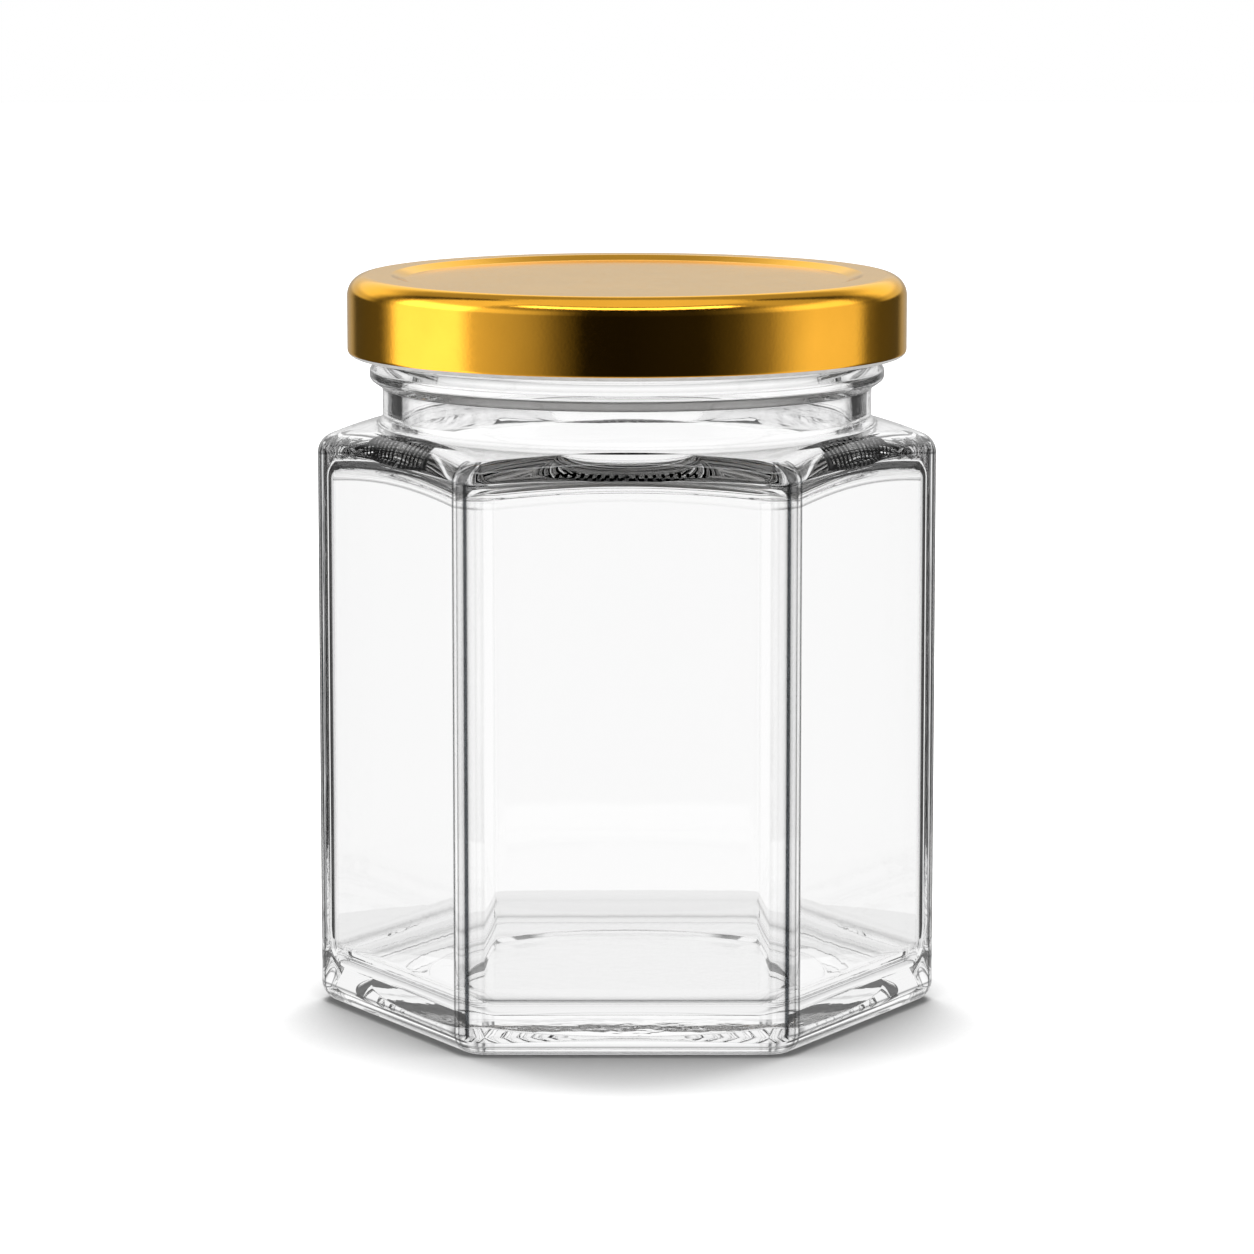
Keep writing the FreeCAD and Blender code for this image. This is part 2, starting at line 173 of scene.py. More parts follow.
def rounded_outline(corners, step=ARC_STEP):
    """An open outline through (radius, height, rounding) corners, with its normals to the right."""
    points = []
    for index, (x, y, rounding) in enumerate(corners):
        before = corners[index - 1] if index else None
        after = corners[index + 1] if index + 1 < len(corners) else None
        here = Vector((x, y))
        if before is None or after is None:
            other = Vector(after[:2]) - here if before is None else here - Vector(before[:2])
            along = other.normalized()
            points.append((x, y, along.y, -along.x))
            continue
        arriving = (here - Vector(before[:2])).normalized()
        leaving = (Vector(after[:2]) - here).normalized()
        turn = math.atan2(arriving.x * leaving.y - arriving.y * leaving.x, arriving.dot(leaving))
        reach = rounding * math.tan(abs(turn) / 2)
        start = here - arriving * reach
        side = 1 if turn > 0 else -1
        middle = start + Vector((-arriving.y, arriving.x)) * rounding * side
        count = max(2, math.ceil(abs(turn) / step))
        normal = Vector((arriving.y, -arriving.x))
        for k in range(count + 1):
            angle = turn * k / count
            turned = Vector((
                normal.x * math.cos(angle) - normal.y * math.sin(angle),
                normal.x * math.sin(angle) + normal.y * math.cos(angle),
            ))
            place = middle + turned * rounding * side
            points.append((place.x, place.y, turned.x, turned.y))
    return points


def spaced(outline, longest):
    """Adds points on the long straight runs of an outline."""
    result = [outline[0]]
    for point in outline[1:]:
        last = result[-1]
        length = math.hypot(point[0] - last[0], point[1] - last[1])
        count = max(1, math.ceil(length / longest))
        for k in range(1, count):
            t = k / count
            result.append(tuple(a + (b - a) * t for a, b in zip(last, point)))
        result.append(point)
    return result


# ---------------------------------------------------------------------------
# Columns: where the upright lines of the mesh stand
# ---------------------------------------------------------------------------

def hexagon_columns(inset):
    """(x, y, direction x, direction y) for each column of a hexagon with rounded corners.

    The corners are those of the jar's hexagon with its faces moved inwards by inset."""
    turn = 2 * math.pi / FACES
    reach = (APOTHEM - inset) / math.cos(turn / 2)
    columns = []
    for k in range(FACES):
        corner = Vector((math.cos(k * turn), math.sin(k * turn))) * reach
        after = Vector((math.cos((k + 1) * turn), math.sin((k + 1) * turn))) * reach
        arriving, leaving = (k - 0.5) * turn, (k + 0.5) * turn
        for part in range(CORNER_PARTS + 1):
            angle = arriving + turn * part / CORNER_PARTS
            columns.append((corner.x, corner.y, math.cos(angle), math.sin(angle)))
        side = (after - corner).length
        for part in range(1, FLAT_PARTS):
            share = part / FLAT_PARTS
            if part in (1, FLAT_PARTS - 1):
                share = LINE_WIDTH / side if part == 1 else 1 - LINE_WIDTH / side
            place = corner.lerp(after, share)
            columns.append((place.x, place.y, math.cos(leaving), math.sin(leaving)))
    return columns


def painted_column_shades(half_corner):
    """Painted shade for each column, from the painted shades of one half of a rounded corner."""
    one_corner = half_corner + half_corner[-2::-1]
    return (one_corner + [0.0] * (FLAT_PARTS - 1)) * FACES


def painted_ring_shade(radius, height):
    """Painted shade of the round parts of the glass: fine dark rings painted where the surface
    turns, standing in for the dark lines that refraction shows there.
    """
    shade = 0.0
    for ring_radius, ring_height, width, depth in PAINTED_RINGS:
        away = math.hypot(radius - ring_radius, height - ring_height) / width
        shade = max(shade, depth * max(0.0, 1 - away))
    return shade


class Skin:
    """Rings of points with their normals, joined into one closed surface."""

    def __init__(self):
        self.rings = []
        self.shades = []

    def add(self, ring, shade=0.0):
        """One more ring. Its painted shade is one number, or one for each point."""
        self.rings.append(ring)
        self.shades.append([shade] * len(ring) if isinstance(shade, float) else shade)

    def hexagon(self, columns, offset, height, upward=0.0, outward=1.0, shade=0.0):
        """A level ring of a rounded hexagon. Its normal leans by upward and outward."""
        length = math.hypot(upward, outward)
        self.add([
            (Vector((x + nx * offset, y + ny * offset, height)),
             Vector((nx * outward, ny * outward, upward)) / length)
            for x, y, nx, ny in columns
        ], shade)

    def circle(self, angles, radius, height, outward, upward):
        self.add([
            (Vector((math.cos(a) * radius, math.sin(a) * radius, height)),
             Vector((math.cos(a) * outward, math.sin(a) * outward, upward)))
            for a in angles
        ], painted_ring_shade(radius, height))

    def lathe(self, angles, outline):
        for radius, height, outward, upward in outline:
            self.circle(angles, radius, height, outward, upward)

    def piece(self, name, material):
        """Builds the mesh. The first and the last ring close in a fan, on the axis."""
        mesh = bpy.data.meshes.new(name)
        points, normals, faces = [], [], []
        width = len(self.rings[0])
        for ring in self.rings:
            for place, normal in ring:
                points.append(place * MM)
                normals.append(normal)
        rows = len(self.rings)
        for low in range(rows - 1):
            high = low + 1
            for k in range(width):
                after = (k + 1) % width
                faces.append((low * width + k, low * width + after,
                              high * width + after, high * width + k))
        for row, flip in ((0, True), (rows - 1, False)):
            ring = self.rings[row]
            centre = sum((place for place, _ in ring), Vector()) / width
            points.append(centre * MM)
            normals.append(ring[0][1])
            tip = len(points) - 1
            for k in range(width):
                after = (k + 1) % width
                edge = (row * width + after, row * width + k) if flip else (
                    row * width + k, row * width + after)
                faces.append((*edge, tip))
        mesh.from_pydata(points, [], faces)
        mesh.polygons.foreach_set("use_smooth", [True] * len(mesh.polygons))
        mesh.update()
        mesh.normals_split_custom_set_from_vertices(normals)
        # the painted dark-line shades become a point attribute, which the glass material darkens
        # its base colour by
        shades = [value for ring in self.shades for value in ring]
        shades += [0.0] * (len(points) - len(shades))
        layer = mesh.attributes.new("painted_edge_shade", "FLOAT", "POINT")
        layer.data.foreach_set("value", shades)
        mesh.materials.append(material)
        made = bpy.data.objects.new(name, mesh)
        bpy.context.scene.collection.objects.link(made)
        return made


# ---------------------------------------------------------------------------
# Painted dark lines on the glass's base colour where its surface turns, standing in for dark
# refraction and reflection lines. A shade runs from 0, clear, to 1, dark
# ---------------------------------------------------------------------------

# painted shades across one half of an upright corner, from its face to its middle
PAINTED_CORNER_LINES = [1.0, 0.9, 0.2, 0.2, 1.0, 0.5, 0.4, 0.4, 0.5, 1.0, 1.0]
# the same painted shades, on the rounded patches above and below
PAINTED_PATCH_LINES = [1.0, 0.9, 0.3, 0.4, 0.95, 0.8, 0.5, 0.25, 0.2, 0.3, 0.4]
# painted shades of the rings between the inner faces and the floor, from the top
PAINTED_FLOOR_LINES = {3: 0.4, 4: 1.0, 5: 0.4, 10: 0.3, 11: 1.0, 12: 0.3, 16: 0.6}
# painted shades of the rings of the heel, from the underside
PAINTED_HEEL_LINES = {0: 0.8, 1: 1.0, 4: 1.0, 5: 0.8, 8: 0.9, 12: 1.0}
# painted shades of the rings of the shoulder's rounding, from the faces up
PAINTED_SHOULDER_LINES = {0: 1.0, 6: 0.5}
# painted shade where the inner faces meet the ceiling's rounding
PAINTED_CEILING_LINE = 0.9
# (radius, height, width, depth) of the painted dark rings in the round parts
PAINTED_RINGS = [
    (NECK_RADIUS + 1.1, SHOULDER - 0.2, 0.3, 0.7),
    (NECK_RADIUS, BEAD_FOOT, 0.3, 0.8),
    (BEAD_RADIUS, BEAD_FOOT + 0.8, 0.25, 0.8),
    (BEAD_RADIUS, BEAD_TOP - 0.8, 0.25, 0.8),
    (FINISH_RADIUS, BEAD_TOP, 0.3, 0.8),
    (BORE_RADIUS + 1.6, CEILING - 0.3, 0.4, 0.8),
    (BORE_RADIUS, CEILING + 1.8, 0.4, 0.6),
    (PUSH_UP_RADIUS, 0.0, 0.4, 0.8),
    (PUSH_UP_RADIUS - PUSH_UP_SLOPE, PUSH_UP_RISE, 0.4, 0.8),
]


def cone(radius, at_neck, neck_radius):
    """Height of the sloping shoulder at a radius."""
    return at_neck - (radius - neck_radius) * math.tan(SHOULDER_FALL)


def slerp(first, second, t):
    angle = first.angle(second)
    return (first * math.sin((1 - t) * angle) + second * math.sin(t * angle)) / math.sin(angle)


def shoulder_edge(columns, offset, rounding, at_neck, neck_radius, count):
    """Rings of the rolled edge from the upright faces to the sloping shoulder."""
    rings = [[] for _ in range(count + 1)]
    drop = rounding / math.cos(SHOULDER_FALL)
    for x, y, nx, ny in columns:
        middle = Vector((x + nx * (offset - rounding), y + ny * (offset - rounding), 0.0))
        radius = middle.length
        middle.z = cone(radius, at_neck, neck_radius) - drop
        outward = Vector((nx, ny, 0.0))
        lean = math.sin(SHOULDER_FALL)
        upward = Vector((middle.x / radius * lean, middle.y / radius * lean,
                         math.cos(SHOULDER_FALL)))
        for k in range(count + 1):
            direction = slerp(outward, upward, k / count)
            rings[k].append((middle + direction * rounding, direction))
    return rings


def steps_between(levels, edge):
    """Shares of a height for the rings between its ends, the outer two close to them."""
    return [edge] + [k / levels for k in range(1, levels)] + [1 - edge]


def turned_inside_out(ring):
    return [(place, -normal) for place, normal in ring]


def ring_angles(ring):
    return [math.atan2(place.y, place.x) for place, _ in ring]


# ---------------------------------------------------------------------------
# Glass
# ---------------------------------------------------------------------------


def ridge_rise(angle, height):
    """How far the thread ridge stands out of the finish at a point."""
    pitch = 2 * math.pi / RIDGES
    along = (angle % pitch) / RIDGE_SPAN
    ends = min(1.0, max(0.0, along / RIDGE_FADE)) * min(1.0, max(0.0, (1 - along) / RIDGE_FADE))
    if ends <= 0:
        return 0.0
    middle = RIDGE_FOOT + RIDGE_WIDTH / 2 + RIDGE_RISE * along
    off = abs(height - middle)
    slope = (RIDGE_WIDTH / 2 - off) / ((RIDGE_WIDTH - RIDGE_CREST) / 2)
    t = min(1.0, max(0.0, slope))
    smooth = t * t * (3 - 2 * t)
    return RIDGE_HEIGHT * smooth * ends * ends * (3 - 2 * ends)


def finish_rings(angles, low, high, step):
    """The wall behind the cap with its ridges, as rings from low to high."""
    rings = []
    count = math.ceil((high - low) / step)
    tiny = 0.002
    for row in range(count + 1):
        height = low + (high - low) * row / count
        ring = []
        for a in angles:
            radius = FINISH_RADIUS + ridge_rise(a, height)
            round_slope = (ridge_rise(a + tiny, height) - ridge_rise(a - tiny, height)) / (2 * tiny)
            up_slope = (ridge_rise(a, height + tiny) - ridge_rise(a, height - tiny)) / (2 * tiny)
            out = Vector((math.cos(a), math.sin(a), 0))
            side = Vector((-math.sin(a), math.cos(a), 0))
            normal = (out - side * round_slope / radius - Vector((0, 0, up_slope))).normalized()
            ring.append((Vector((out.x * radius, out.y * radius, height)), normal))
        rings.append(ring)
    return rings


def glass(material):
    skin = Skin()
    outer_core = hexagon_columns(CORNER_ROUND)
    inner_core = hexagon_columns(WALL + INNER_CORNER_ROUND)

    # under the base: the push-up, from its middle out to the standing ring
    foot_angles = ring_angles([(Vector((x + nx * CORNER_ROUND, y + ny * CORNER_ROUND, 0)), None)
                               for x, y, nx, ny in outer_core])
    push_up = rounded_outline([
        (1.0, PUSH_UP_RISE, 0),
        (PUSH_UP_RADIUS - PUSH_UP_SLOPE, PUSH_UP_RISE, PUSH_UP_ROUND),
        (PUSH_UP_RADIUS, 0.0, PUSH_UP_ROUND),
        (PUSH_UP_RADIUS + 1.5, 0.0, 0),
    ], step=PUSH_UP_STEP)
    skin.lathe(foot_angles, spaced(push_up, PUSH_UP_RUN))

    # heel and upright faces
    # painted dark lines down the corners, and painted patches on the heel and shoulder roundings
    painted_corner_lines = painted_column_shades(PAINTED_CORNER_LINES)
    painted_corner_patches = painted_column_shades(PAINTED_PATCH_LINES)
    for k in range(HEEL_ROWS + 1):
        a = math.pi / 2 * k / HEEL_ROWS
        skin.hexagon(outer_core, CORNER_ROUND - HEEL_ROUND * (1 - math.sin(a)),
                     HEEL_ROUND * (1 - math.cos(a)), -math.cos(a), math.sin(a),
                     shade=PAINTED_HEEL_LINES.get(k, painted_corner_patches))
    edge = shoulder_edge(outer_core, CORNER_ROUND, SHOULDER_ROUND, SHOULDER, NECK_RADIUS,
                         SHOULDER_ROWS)
    for t in steps_between(FACE_LEVELS, LINE_WIDTH / SHOULDER):
        skin.add([
            (Vector((top.x, top.y, HEEL_ROUND + (top.z - HEEL_ROUND) * t)), normal)
            for top, normal in edge[0]
        ], painted_corner_lines)
    for row, ring in enumerate(edge):
        skin.add(ring, PAINTED_SHOULDER_LINES.get(row, painted_corner_patches))

    # shoulder, neck and bead
    angles = ring_angles(edge[-1])
    neck = rounded_outline([
        (NECK_RADIUS + NECK_SKIRT, cone(NECK_RADIUS + NECK_SKIRT, SHOULDER, NECK_RADIUS), 0),
        (NECK_RADIUS, SHOULDER, NECK_ROUND),
        (NECK_RADIUS, BEAD_FOOT, UNDER_BEAD_ROUND),
        (BEAD_RADIUS, BEAD_FOOT + BEAD_FLANK, BEAD_ROUND),
        (BEAD_RADIUS, BEAD_TOP - BEAD_FLANK, BEAD_ROUND),
        (FINISH_RADIUS, BEAD_TOP, OVER_BEAD_ROUND),
        (FINISH_RADIUS, BEAD_TOP + 1.2, 0),
    ])
    first = neck[0]
    for t in [FIRST_CONE_STEP] + [k / CONE_STEPS for k in range(1, CONE_STEPS)]:
        ring = []
        for (place, normal), a in zip(edge[-1], angles):
            radius = math.hypot(place.x, place.y)
            radius += (first[0] - radius) * t
            ring.append((Vector((math.cos(a) * radius, math.sin(a) * radius,
                                 cone(radius, SHOULDER, NECK_RADIUS))), normal))
        skin.add(ring)
    lean = (math.sin(SHOULDER_FALL), math.cos(SHOULDER_FALL))
    neck[0] = (first[0], first[1], *lean)
    skin.lathe(angles, spaced(neck, NECK_RUN))

    # finish with its ridges, then the rim and the bore
    for ring in finish_rings(angles, BEAD_TOP + 1.5, GLASS_TOP - 2.2, THREAD_STEP):
        skin.add(ring)
    rim = rounded_outline([
        (FINISH_RADIUS, GLASS_TOP - 2.0, 0),
        (FINISH_RADIUS, GLASS_TOP, RIM_ROUND),
        (BORE_RADIUS, GLASS_TOP, RIM_ROUND),
        (BORE_RADIUS, CEILING, INNER_NECK_ROUND),
        (BORE_RADIUS + BORE_SKIRT, cone(BORE_RADIUS + BORE_SKIRT, CEILING, BORE_RADIUS), 0),
    ])
    skin.lathe(angles, spaced(rim, RIM_RUN))

    # inside: ceiling, faces, floor
    inner_edge = shoulder_edge(inner_core, INNER_CORNER_ROUND, INNER_SHOULDER_ROUND, CEILING,
                               BORE_RADIUS, SHOULDER_ROWS)
    inner_edge = [turned_inside_out(ring) for ring in reversed(inner_edge)]
    start = rim[-1][0]
    for k in range(1, CONE_STEPS):
        t = k / CONE_STEPS
        ring = []
        for (place, normal), a in zip(inner_edge[0], angles):
            b = math.atan2(place.y, place.x)
            angle = a + ((b - a + math.pi) % (2 * math.pi) - math.pi) * t
            radius = start + (math.hypot(place.x, place.y) - start) * t
            down = Vector((-math.cos(angle) * lean[0], -math.sin(angle) * lean[0], -lean[1]))
            ring.append((Vector((math.cos(angle) * radius, math.sin(angle) * radius,
                                 cone(radius, CEILING, BORE_RADIUS))), down))
        skin.add(ring)
    for row, ring in enumerate(inner_edge):
        skin.add(ring, PAINTED_CEILING_LINE if row == len(inner_edge) - 1 else 0.0)
    top_ring = inner_edge[-1]
    low = FLOOR + FLOOR_ROUND
    for t in steps_between(FACE_LEVELS, LINE_WIDTH / SHOULDER):
        skin.add([(Vector((p.x, p.y, p.z + (low - p.z) * t)), n) for p, n in top_ring])
    for k in range(FLOOR_ROWS + 1):
        a = math.pi / 2 * k / FLOOR_ROWS
        skin.hexagon(inner_core, INNER_CORNER_ROUND - FLOOR_ROUND * (1 - math.cos(a)),
                     FLOOR + FLOOR_ROUND * (1 - math.sin(a)), math.sin(a), -math.cos(a),
                     shade=PAINTED_FLOOR_LINES.get(k, 0.0))
    rest = INNER_CORNER_ROUND - FLOOR_ROUND
    for scale in (0.993, 0.9, 0.75, 0.55, 0.35, 0.15):
        skin.add([
            (Vector(((x + nx * rest) * scale, (y + ny * rest) * scale, FLOOR)), Vector((0, 0, 1)))
            for x, y, nx, ny in inner_core
        ])
    made = skin.piece("glass", material)
    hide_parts("glass_jar")
    return made


# ---------------------------------------------------------------------------
# Cap
# ---------------------------------------------------------------------------


def sheet_outline():
    """The closed outline of the pressed sheet: outside first, then back along its inside."""
    crest = CAP_RADIUS - CROWN_ROUND - CREST_WIDTH
    panel = crest - PANEL_STEP
    floor = CAP_TOP - PANEL_RECESS
    curl_middle = (CAP_RADIUS - CURL, CAP_EDGE + CURL)
    outside = rounded_outline([
        (0.4, floor, 0),
        (panel, floor, PANEL_ROUND),
        (crest, CAP_TOP, PANEL_ROUND),
        (CAP_RADIUS, CAP_TOP, CROWN_ROUND),
        (CAP_RADIUS, CAP_EDGE + CURL, 0),
    ], step=SHEET_STEP)
    inside = rounded_outline([
        (CAP_RADIUS - SHEET, CAP_EDGE + CURL, 0),
        (CAP_RADIUS - SHEET, CAP_TOP - SHEET, CROWN_ROUND - SHEET),
        (crest, CAP_TOP - SHEET, PANEL_ROUND - SHEET),
        (panel, floor - SHEET, PANEL_ROUND + SHEET),
        (0.4, floor - SHEET, 0),
    ], step=SHEET_STEP)
    outside = [(x, y, -nx, -ny) for x, y, nx, ny in outside]
    inside = [(x, y, -nx, -ny) for x, y, nx, ny in inside]
    curled = []
    for radius, side in ((CURL, 1), (CURL - SHEET, -1)):
        arc = []
        for k in range(1, CURL_PARTS + 1):
            a = CURL_TURN * k / CURL_PARTS
            arc.append((curl_middle[0] + radius * math.cos(a),
                        curl_middle[1] + radius * math.sin(a),
                        side * math.cos(a), side * math.sin(a)))
        curled += arc if side > 0 else list(reversed(arc))
    return outside + curled + inside


def lid(gold, inside):
    skin = Skin()
    angles = [2 * math.pi * k / CAP_PARTS for k in range(CAP_PARTS)]
    outline = list(reversed(spaced(sheet_outline(), CAP_RUN)))
    skin.lathe(angles, outline)
    made = skin.piece("cap", gold)
    made.data.materials.append(inside)
    # the lugs: four stretches of the curl pushed inwards under the thread ridges
    for point in made.data.vertices:
        place = point.co / MM
        radius = math.hypot(place.x, place.y)
        inward = min(1.0, max(0.0, (CAP_RADIUS - CURL - radius) / CURL))
        if place.z > CAP_EDGE + LUG_HEIGHT + 0.1 or not inward:
            continue
        along = (math.atan2(place.y, place.x) % (2 * math.pi / RIDGES)) / LUG_SPAN
        if along < 1:
            push = inward * (CAP_RADIUS - 2 * CURL - FINISH_RADIUS - LUG_REACH)
            push *= min(1.0, LUG_ENDS * along, LUG_ENDS * (1 - along))
            point.co.x -= place.x / radius * push * MM
            point.co.y -= place.y / radius * push * MM
    # the faces that look into the cap are lacquered another colour
    for face in made.data.polygons:
        centre, normal = face.center / MM, face.normal
        out = math.hypot(centre.x, centre.y)
        under = centre.z < CAP_TOP - SHEET * 0.6 and normal.z < -0.35
        inward = centre.x * normal.x + centre.y * normal.y < -0.2 * out and out > CAP_RADIUS - 3
        if under or inward:
            face.material_index = 1
    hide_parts("lid")
    return made


def math_node(nodes, links, operation, *values):
    node = nodes.new("ShaderNodeMath")
    node.operation = operation
    for socket, value in zip(node.inputs, values):
        if isinstance(value, (int, float)):
            socket.default_value = value
        else:
            links.new(value, socket)
    return node.outputs[0]


def map_range(nodes, links, value, low, high, first, last, kind="SMOOTHSTEP"):
    node = nodes.new("ShaderNodeMapRange")
    node.interpolation_type = kind
    for name, number in (("From Min", low), ("From Max", high), ("To Min", first),
                         ("To Max", last)):
        node.inputs[name].default_value = number
    links.new(value, node.inputs["Value"])
    return node.outputs["Result"]


def blend(nodes, links, factor, first, last):
    node = nodes.new("ShaderNodeMix")
    for name, value in (("Factor", factor), ("A", first), ("B", last)):
        if isinstance(value, (int, float)):
            node.inputs[name].default_value = value
        else:
            links.new(value, node.inputs[name])
    return node.outputs["Result"]


def simple_material(name, **values):
    material = bpy.data.materials.new(name)
    material.use_nodes = True
    shader = material.node_tree.nodes["Principled BSDF"]
    for key, value in values.items():
        shader.inputs[key.replace("_", " ")].default_value = value
    return material


def fine_grain():
    """A node group: soft grey variation over the surface, from coarse and fine noise."""
    group = bpy.data.node_groups.new("fine_grain", "ShaderNodeTree")
    sockets = group.interface
    for name, value in (("Scale", 500.0), ("Stretch", 1.0), ("Low", 0.0), ("High", 1.0)):
        socket = sockets.new_socket(name, in_out="INPUT", socket_type="NodeSocketFloat")
        socket.default_value = value
    sockets.new_socket("Value", in_out="OUTPUT", socket_type="NodeSocketFloat")
    nodes, links = group.nodes, group.links
    given, result = nodes.new("NodeGroupInput"), nodes.new("NodeGroupOutput")
    place = nodes.new("ShaderNodeTexCoord").outputs["Object"]
    squeeze = nodes.new("ShaderNodeCombineXYZ")
    squeeze.inputs["X"].default_value = squeeze.inputs["Y"].default_value = 1.0
    links.new(given.outputs["Stretch"], squeeze.inputs["Z"])
    scaled = nodes.new("ShaderNodeVectorMath")
    scaled.operation = "MULTIPLY"
    links.new(place, scaled.inputs[0])
    links.new(squeeze.outputs["Vector"], scaled.inputs[1])
    noise = nodes.new("ShaderNodeTexNoise")
    noise.inputs["Detail"].default_value = 4.0
    links.new(scaled.outputs["Vector"], noise.inputs["Vector"])
    links.new(given.outputs["Scale"], noise.inputs["Scale"])
    spread = nodes.new("ShaderNodeMapRange")
    spread.inputs["From Min"].default_value = 0.3
    spread.inputs["From Max"].default_value = 0.7
    links.new(noise.outputs["Fac"], spread.inputs["Value"])
    links.new(given.outputs["Low"], spread.inputs["To Min"])
    links.new(given.outputs["High"], spread.inputs["To Max"])
    links.new(spread.outputs["Result"], result.inputs["Value"])
    return group


GRAIN = fine_grain()


def grain(material, scale, stretch, low, high):
    """Places the grain in a material and returns its value."""
    node = material.node_tree.nodes.new("ShaderNodeGroup")
    node.node_tree = GRAIN
    for name, value in (("Scale", scale), ("Stretch", stretch), ("Low", low), ("High", high)):
        node.inputs[name].default_value = value
    return node.outputs["Value"]


def bump(material, height, distance):
    nodes, links = material.node_tree.nodes, material.node_tree.links
    node = nodes.new("ShaderNodeBump")
    node.inputs["Strength"].default_value = 1.0
    node.inputs["Distance"].default_value = distance
    links.new(height, node.inputs["Height"])
    links.new(node.outputs["Normal"], nodes["Principled BSDF"].inputs["Normal"])


def toned(material, value, dark, light):
    """Base Color between two colours by a value."""
    nodes, links = material.node_tree.nodes, material.node_tree.links
    tint = nodes.new("ShaderNodeMix")
    tint.data_type = "RGBA"
    for name, color in (("A", dark), ("B", light)):
        [socket for socket in tint.inputs if socket.name == name and socket.type == "RGBA"][0]\
            .default_value = (*color, 1)
    links.new(value, tint.inputs["Factor"])
    shade = [socket for socket in tint.outputs if socket.type == "RGBA"][0]
    links.new(shade, nodes["Principled BSDF"].inputs["Base Color"])


def glass_finish():
    """Clear glass, faintly wavy, with painted dark lines on its base colour where its surface
    turns, standing in for dark refraction lines.
    """
    material = simple_material("clear_glass", Roughness=0.0, IOR=1.5, Transmission_Weight=1.0)
    lines = material.node_tree.nodes.new("ShaderNodeAttribute")
    lines.attribute_name = "painted_edge_shade"
    # the painted lines show clearly on the near walls, faintly on the far ones
    depth = material.node_tree.nodes.new("ShaderNodeLightPath").outputs["Transmission Depth"]
    nodes, links = material.node_tree.nodes, material.node_tree.links
    clear = map_range(nodes, links, depth, 1.0, 3.0, 1.0, 0.12, "LINEAR")
    # and a painted line is darkest where its surface turns away from the view
    facing = nodes.new("ShaderNodeLayerWeight").outputs["Facing"]
    turned = map_range(nodes, links, facing, 0.06, 0.14, 0.18, 1.0, "LINEAR")
    dark = math_node(nodes, links, "MULTIPLY", lines.outputs["Fac"], clear)
    # the base colour runs from white to near black by the painted shade
    toned(material, math_node(nodes, links, "MULTIPLY", dark, turned),
          (1, 1, 1), (0.004, 0.005, 0.006))
    bump(material, grain(material, 70.0, 0.35, 0.0, 1.0), 0.00002)
    return material


def gold_finish():
    """Gold lacquer on tinplate, with the faint orange peel of a baked coat."""
    material = simple_material("gold_lacquer", Metallic=1.0, Specular_Tint=(0.97, 0.88, 0.58, 1))
    nodes, links = material.node_tree.nodes, material.node_tree.links
    toned(material, grain(material, 120.0, 1.0, 0.0, 1.0), (0.81, 0.39, 0.036), (0.88, 0.43, 0.042))
    links.new(grain(material, 1400.0, 1.0, 0.10, 0.15),
              nodes["Principled BSDF"].inputs["Roughness"])
    bump(material, grain(material, 2600.0, 1.0, 0.0, 1.0), 0.000002)
    return material


def inside_finish():
    """The pale lacquer inside the cap."""
    material = simple_material("cap_inside", Roughness=0.4)
    toned(material, grain(material, 900.0, 1.0, 0.0, 1.0), (0.42, 0.41, 0.40), (0.50, 0.49, 0.48))
    return material


def compound_finish():
    """Soft sealing compound, matt and a little uneven."""
    material = simple_material("sealing_compound", Roughness=0.6)
    toned(material, grain(material, 700.0, 1.0, 0.0, 1.0), (0.62, 0.61, 0.58), (0.74, 0.73, 0.70))
    bump(material, grain(material, 1500.0, 1.0, 0.0, 1.0), 0.00002)
    return material


make_camera()
jar_piece = glass(glass_finish())
cap_piece = lid(gold_finish(), inside_finish())
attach(jar_piece, "root")
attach(cap_piece, "root")
compound = compound_finish()
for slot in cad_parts["sealing_ring"].material_slots:
    slot.material = compound

# ---------------------------------------------------------------------------
# Studio: places and sizes in metres, directions in degrees, power in watts
# ---------------------------------------------------------------------------

FLOOR_REACH = 2.0
NEAR_FLOOR_REACH = 0.065
FLOOR_GREY = 0.86
LAMP_PLACE = (0, 0.25, 0.9)
LAMP_TARGET = (0, 0, 0.05)
LAMP_SIZE = (0.7, 0.25)
LAMP_POWER = 12
GLASS_BOUNCES = 24
METAL_BOUNCES = 16
PEAK_STRENGTH = 2.0
WHITE_THROUGH_GLASS = 1.06
FLAG_LIGHT = 0.05
LIGHT_ON_OBJECT = 0.75


def ray_mask(nodes, links, names):
    """A value of 1 for the given kinds of ray."""
    path = nodes.new("ShaderNodeLightPath")
    total = path.outputs[names[0]]
    for name in names[1:]:
        total = math_node(nodes, links, "MAXIMUM", total, path.outputs[name])
    return total


SEEN = ("Is Camera Ray", "Is Glossy Ray", "Is Transmission Ray")


def ramp(nodes, links, angle, stops):
    """A value from (degrees, strength) stops, from -180 to 180 degrees."""
    share = map_range(nodes, links, angle, -180.0, 180.0, 0.0, 1.0, "LINEAR")
    curve = nodes.new("ShaderNodeFloatCurve")
    points = curve.mapping.curves[0].points
    places = [((degrees + 180) / 360, strength / PEAK_STRENGTH) for degrees, strength in stops]
    points[0].location, points[1].location = places[0], places[-1]
    for place in places[1:-1]:
        points.new(*place)
    for point in points:
        point.handle_type = "VECTOR"
    curve.mapping.update()
    links.new(share, curve.inputs["Value"])
    return math_node(nodes, links, "MULTIPLY", curve.outputs[0], PEAK_STRENGTH)


